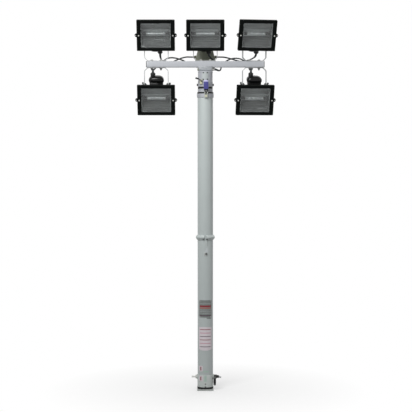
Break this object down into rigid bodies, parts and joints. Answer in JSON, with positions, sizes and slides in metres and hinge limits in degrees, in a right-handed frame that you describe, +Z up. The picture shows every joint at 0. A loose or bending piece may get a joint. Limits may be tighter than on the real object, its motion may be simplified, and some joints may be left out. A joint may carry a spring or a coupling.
{
  "type": "telescopic mast floodlight tower",
  "caption": "Retracted telescopic mast with air port, vent valve, latch and clamp ring, topped by a crossarm of tilting halogen floodlights wired to a junction box",
  "frame": {"origin": "centre of the base plate's underside", "axes": "+Z up along the mast, the lamps face -Y, +X to the viewer's right when facing the lamps"},
  "size_m": [0.6963, 0.2445, 1.8143],
  "materials": {
    "mast_paint": "satin light grey paint",
    "arm_paint": "satin pale grey paint",
    "galvanised": "dull galvanised",
    "plated_steel": "zinc plated",
    "zinc_yellow": "yellow zinc plated",
    "black_rubber": "matt",
    "lead_rubber": "matt",
    "black_plastic": "matt",
    "blue_grip": "glossy dipped plastic",
    "olive_paint": "matt olive grey paint",
    "lamp_black": "textured black powder coat",
    "lamp_glass": "clear toughened",
    "reflector": "bright fluted sheet",
    "dark_plate": "printed plate, blank",
    "bright_plate": "blank plate"
  },
  "bodies": {
    "mast_base": {"base_plate": "galvanised", "base_gasket": "black_rubber", "base_casting": "mast_paint", "base_tube": "mast_paint", "base_collar": "mast_paint", "lower_seal": "black_rubber", "air_nipple": "plated_steel", "vent_valve": "black_plastic", "clamp_ring": "mast_paint", "rating_plate": "dark_plate", "latch_base": "zinc_yellow"},
    "middle_section": {"middle_tube": "mast_paint", "middle_collar": "mast_paint", "upper_seal": "black_rubber"},
    "mast_head": {"inner_tube": "mast_paint", "top_collar": "mast_paint", "head_can": "mast_paint", "name_plate": "bright_plate", "collar_hardware": "zinc_yellow", "saddle": "arm_paint", "crossarm": "arm_paint", "arm_caps": "black_plastic", "arm_bolts": "plated_steel", "junction_box": "olive_paint", "box_shelf": "arm_paint", "cable_glands": "black_plastic", "lead_middle": "lead_rubber", "supply_lead": "lead_rubber", "lead_upper_left": "lead_rubber", "lead_upper_right": "lead_rubber", "lead_lower_left": "lead_rubber", "lead_lower_right": "lead_rubber", "yoke_upper_left": "plated_steel", "yoke_upper_middle": "plated_steel", "yoke_upper_right": "plated_steel", "yoke_lower_left": "plated_steel", "yoke_lower_right": "plated_steel"},
    "vent_handle": {"vent_lever": "black_plastic"},
    "latch": {"latch_handle": "blue_grip"},
    "clamp_handle": {"clamp_lever": "black_plastic"},
    "lamp_upper_left": {"housing_upper_left": "lamp_black", "bezel_upper_left": "lamp_black", "glass_upper_left": "lamp_glass", "reflector_upper_left": "reflector"},
    "lamp_upper_middle": {"housing_upper_middle": "lamp_black", "bezel_upper_middle": "lamp_black", "glass_upper_middle": "lamp_glass", "reflector_upper_middle": "reflector"},
    "lamp_upper_right": {"housing_upper_right": "lamp_black", "bezel_upper_right": "lamp_black", "glass_upper_right": "lamp_glass", "reflector_upper_right": "reflector"},
    "lamp_lower_left": {"housing_lower_left": "lamp_black", "bezel_lower_left": "lamp_black", "glass_lower_left": "lamp_glass", "reflector_lower_left": "reflector"},
    "lamp_lower_right": {"housing_lower_right": "lamp_black", "bezel_lower_right": "lamp_black", "glass_lower_right": "lamp_glass", "reflector_lower_right": "reflector"}
  },
  "joints": [
    {"name": "middle_slide", "type": "slide", "parent": "mast_base", "child": "middle_section", "axis": [0, 0, 1], "range_m": [0, 1.1]},
    {"name": "head_slide", "type": "slide", "parent": "middle_section", "child": "mast_head", "axis": [0, 0, 1], "range_m": [0, 1.1]},
    {"name": "vent_turn", "type": "hinge", "parent": "mast_base", "child": "vent_handle", "pos_m": [0.0465, -0.019, 0.065], "axis": [0, -1, 0], "range_deg": [0, 90]},
    {"name": "latch_swing", "type": "hinge", "parent": "mast_base", "child": "latch", "pos_m": [0.004, -0.053, 1.466], "axis": [1, 0, 0], "range_deg": [0, 110]},
    {"name": "clamp_turn", "type": "hinge", "parent": "mast_head", "child": "clamp_handle", "pos_m": [-0.021, -0.042, 1.524], "axis": [0, 1, 0], "range_deg": [-25, 60]},
    {"name": "tilt_upper_left", "type": "hinge", "parent": "mast_head", "child": "lamp_upper_left", "pos_m": [-0.24, 0, 1.707], "axis": [1, 0, 0], "range_deg": [-67, 20], "deforming": ["lead_upper_left"]},
    {"name": "tilt_upper_middle", "type": "hinge", "parent": "mast_head", "child": "lamp_upper_middle", "pos_m": [0, 0, 1.707], "axis": [1, 0, 0], "range_deg": [-67, 20], "deforming": ["lead_middle"]},
    {"name": "tilt_upper_right", "type": "hinge", "parent": "mast_head", "child": "lamp_upper_right", "pos_m": [0.24, 0, 1.707], "axis": [0.9857, 0.1685, 0], "range_deg": [-67, 20], "deforming": ["lead_upper_right"]},
    {"name": "tilt_lower_left", "type": "hinge", "parent": "mast_head", "child": "lamp_lower_left", "pos_m": [-0.24, 0, 1.505], "axis": [1, 0, 0], "range_deg": [-62, 38], "deforming": ["lead_lower_left"]},
    {"name": "tilt_lower_right", "type": "hinge", "parent": "mast_head", "child": "lamp_lower_right", "pos_m": [0.24, 0, 1.505], "axis": [0.9959, 0.0906, 0], "range_deg": [-62, 38], "deforming": ["lead_lower_right"]}
  ]
}
